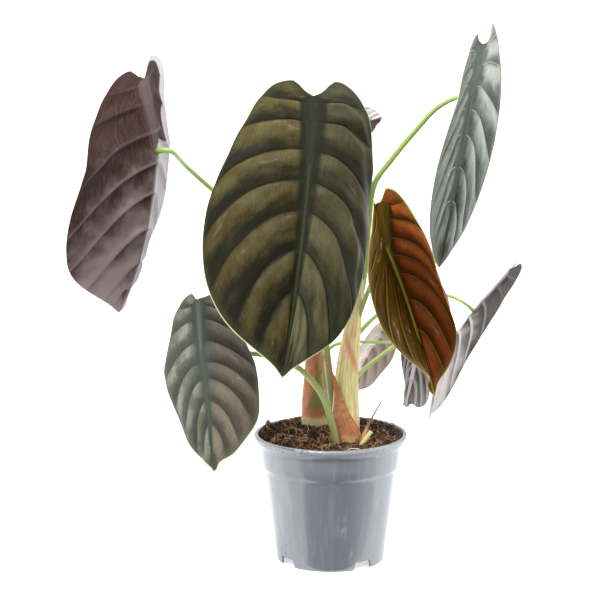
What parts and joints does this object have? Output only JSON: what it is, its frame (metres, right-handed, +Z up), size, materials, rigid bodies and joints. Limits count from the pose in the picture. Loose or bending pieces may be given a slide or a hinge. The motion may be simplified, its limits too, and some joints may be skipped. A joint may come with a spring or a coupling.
{
  "type": "potted alocasia",
  "caption": "Potted alocasia plant: quilted shield-shaped leaves on slim stalks from sheathed stems, standing in a moulded nursery pot.",
  "frame": {"origin": "centre of the pot's flat base disc, on the surface that the pot stands on", "axes": "+Z up along the pot's axis, -Y towards the side that shows the largest leaf"},
  "size_m": [0.3504, 0.3222, 0.4197],
  "materials": {
    "pot_plastic": "satin grey-blue moulded plastic",
    "growing_medium": "loose coarse reddish-brown coir and bark fibres",
    "sheath": "yellow-green fleshy leaf sheath with fine lengthwise lines",
    "papery_scale": "dry orange-red papery scale leaf",
    "stalk": "smooth satin green leaf stalk",
    "dark_leaf": "satin quilted leaf, dark olive bronze above and purple below",
    "silver_leaf": "satin quilted leaf, silvery grey-green above and purple below",
    "purple_leaf": "satin quilted leaf, grey-green above and purple-brown below with pale veins",
    "copper_leaf": "glossy copper-red young leaf with green veins"
  },
  "bodies": {
    "root": {"pot": "pot_plastic", "soil": "growing_medium", "stem_front": "sheath", "stem_back": "sheath", "cataphyll_front": "papery_scale", "cataphyll_back": "papery_scale", "dried_spike": "papery_scale", "cut_stub": "stalk", "blade_main": "dark_leaf", "blade_left": "purple_leaf", "blade_tall": "silver_leaf", "blade_copper": "copper_leaf", "blade_low_left": "silver_leaf", "blade_low_right": "purple_leaf", "blade_drip": "purple_leaf", "blade_inner": "purple_leaf", "blade_behind": "purple_leaf", "petiole_main": "stalk", "petiole_left": "stalk", "petiole_tall": "stalk", "petiole_copper": "stalk", "petiole_low_left": "stalk", "petiole_low_right": "stalk", "petiole_drip": "stalk", "petiole_inner": "stalk", "petiole_behind": "stalk"}
  },
  "joints": []
}
